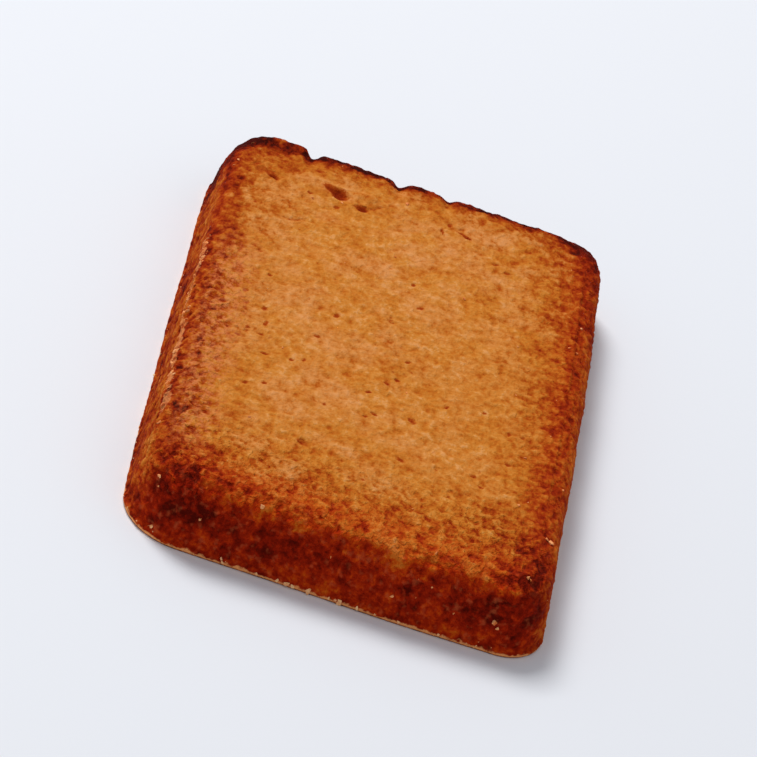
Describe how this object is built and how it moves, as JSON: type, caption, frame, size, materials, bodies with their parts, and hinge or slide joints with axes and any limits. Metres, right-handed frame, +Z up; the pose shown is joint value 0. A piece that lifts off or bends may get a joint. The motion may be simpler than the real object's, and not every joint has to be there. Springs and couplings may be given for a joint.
{
  "type": "milk biscuit",
  "caption": "Rectangular baked milk biscuit with rounded corners, a golden top, a darker rounded rim and a flat underside to lie on.",
  "frame": {"origin": "middle of the underside, on the surface the biscuit lies on", "axes": "+X across the width, +Y along the length, +Z up out of the golden top"},
  "size_m": [0.0454, 0.072, 0.0079],
  "materials": {
    "baked_crust": "matte"
  },
  "bodies": {
    "root": {"biscuit": "baked_crust"}
  },
  "joints": []
}
